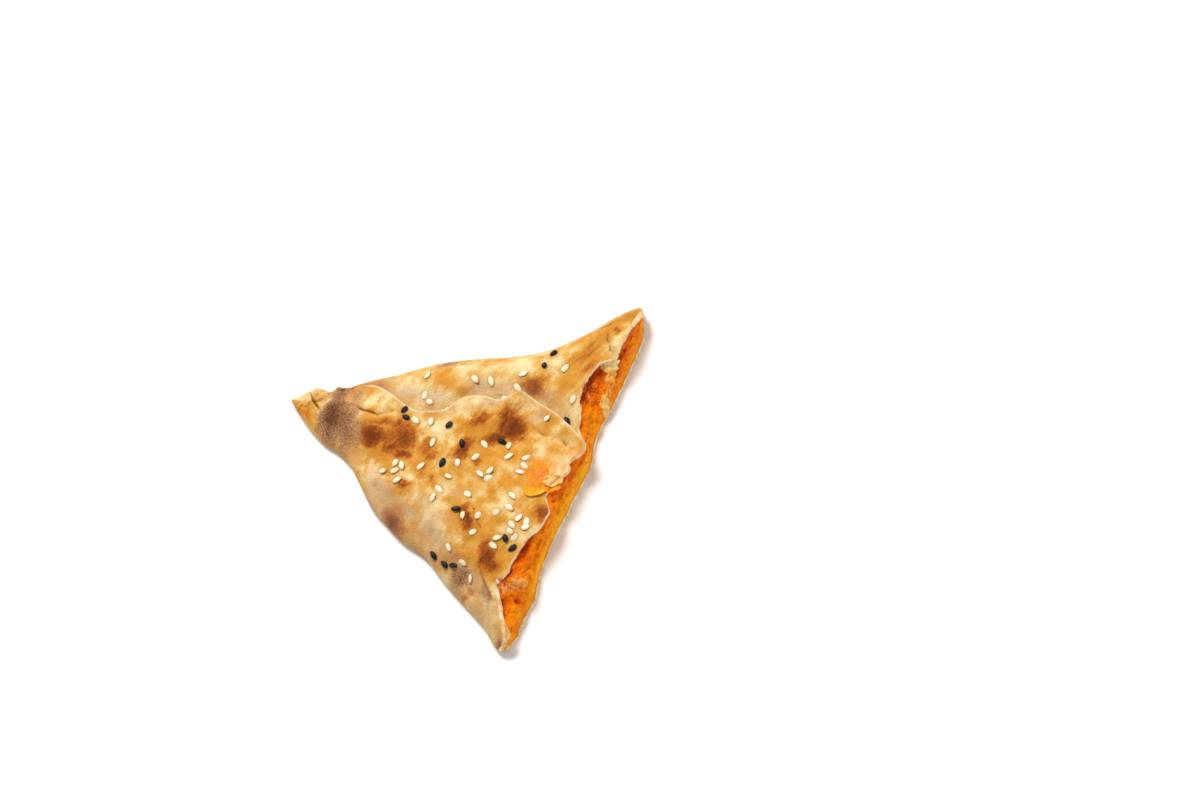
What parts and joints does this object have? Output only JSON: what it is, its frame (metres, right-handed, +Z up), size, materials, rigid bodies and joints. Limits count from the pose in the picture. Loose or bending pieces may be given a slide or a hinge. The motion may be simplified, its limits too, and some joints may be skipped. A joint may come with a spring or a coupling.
{
  "type": "potato hand pie wedge",
  "caption": "Flat triangular wedge of folded baked flatbread with a spiced potato filling showing along its cut edge, sprinkled with pale and black seeds.",
  "frame": {"origin": "centre of the bounding box at the height of the table, under the wedge", "axes": "+X along the knife cut, towards its end on the lower flap's side; +Y from the cut towards the folded point; +Z up, out of the seeded top"},
  "size_m": [0.1388, 0.1148, 0.0162],
  "materials": {
    "crust": "baked wheat dough, cream to golden, with brown scorched patches and a floury bloom",
    "filling": "moist mashed potato, orange-red, lumpy",
    "filling_smear": "thin dried potato filling, orange"
  },
  "bodies": {
    "root": {"crust": "crust", "filling": "filling", "filling_smear": "filling_smear"}
  },
  "joints": []
}
